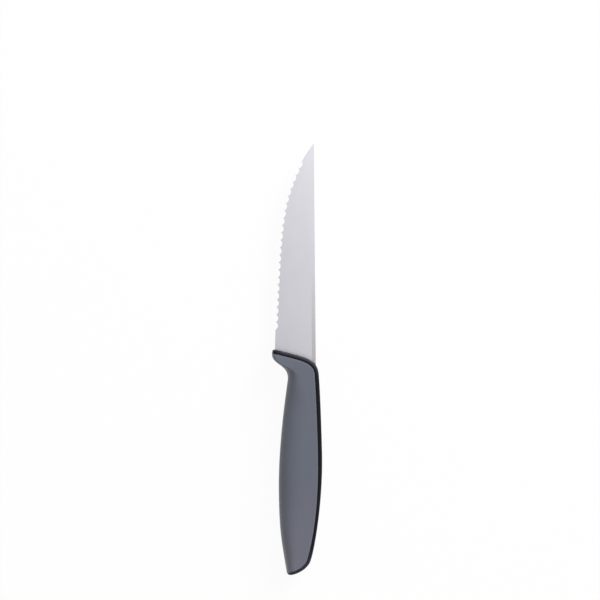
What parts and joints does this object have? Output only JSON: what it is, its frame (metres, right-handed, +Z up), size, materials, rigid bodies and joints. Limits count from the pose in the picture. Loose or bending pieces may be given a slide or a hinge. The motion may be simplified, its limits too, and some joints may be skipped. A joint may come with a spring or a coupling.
{
  "type": "steak knife",
  "caption": "Steak knife with a scalloped cutting edge, a hidden tang and a two-shot moulded handle with a finger guard.",
  "frame": {"origin": "centre of the bounding box's bottom, on the surface the knife lies on", "axes": "+Y along the blade's spine towards the point, +X from the cutting edge towards the spine, +Z up out of the blade's face, with the knife lying on its flank"},
  "size_m": [0.0244, 0.2131, 0.0135],
  "materials": {
    "blade_steel": "satin stainless steel, fine grind lines across the blade",
    "hard_black_plastic": "black moulded polypropylene, low gloss",
    "soft_grey_grip": "blue-grey soft-touch elastomer, matte and very finely textured"
  },
  "bodies": {
    "root": {"blade": "blade_steel", "handle_core": "hard_black_plastic", "handle_grip": "soft_grey_grip"}
  },
  "joints": []
}
